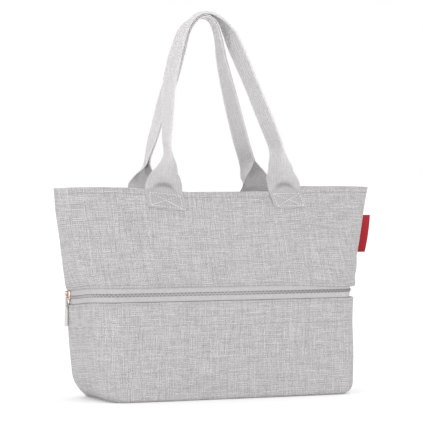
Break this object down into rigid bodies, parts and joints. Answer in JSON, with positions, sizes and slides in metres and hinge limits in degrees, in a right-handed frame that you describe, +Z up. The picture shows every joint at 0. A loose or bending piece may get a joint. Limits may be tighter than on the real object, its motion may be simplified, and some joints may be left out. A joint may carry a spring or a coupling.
{
  "type": "shopping bag",
  "caption": "Soft cloth shopping bag with an open top, long folded webbing handles, a zip round the middle and a small flag label at one side.",
  "frame": {"origin": "centre of the base on the floor", "axes": "+X along the length towards the label, -Y towards the front, +Z up"},
  "size_m": [0.4717, 0.1444, 0.5093],
  "materials": {
    "cloth": "matt plain weave of mixed grey threads",
    "webbing": "matt ribbed webbing",
    "zip_tape": "matt woven tape",
    "zip_chain": "nylon coil",
    "slider_metal": "rose-gold plated, satin polish",
    "pull_ribbon": "matt folded ribbon",
    "label": "satin woven ribbon, bare"
  },
  "bodies": {
    "bag": {"base_panel": "cloth", "lower_front_panel": "cloth", "lower_back_panel": "cloth", "upper_front_panel": "cloth", "upper_back_panel": "cloth", "zip_tape_lower": "zip_tape", "zip_tape_upper": "zip_tape", "zip_chain": "zip_chain", "zip_slider": "slider_metal", "handle_front": "webbing", "handle_back": "webbing", "side_label": "label"},
    "zip_pull": {"pull_link": "slider_metal", "pull_tab": "pull_ribbon"}
  },
  "joints": [
    {"name": "pull_swing", "type": "hinge", "parent": "bag", "child": "zip_pull", "pos_m": [-0.19507, 0.03933, 0.13376], "axis": [0.1889, 0.982, 0], "range_deg": [0, 140]}
  ]
}
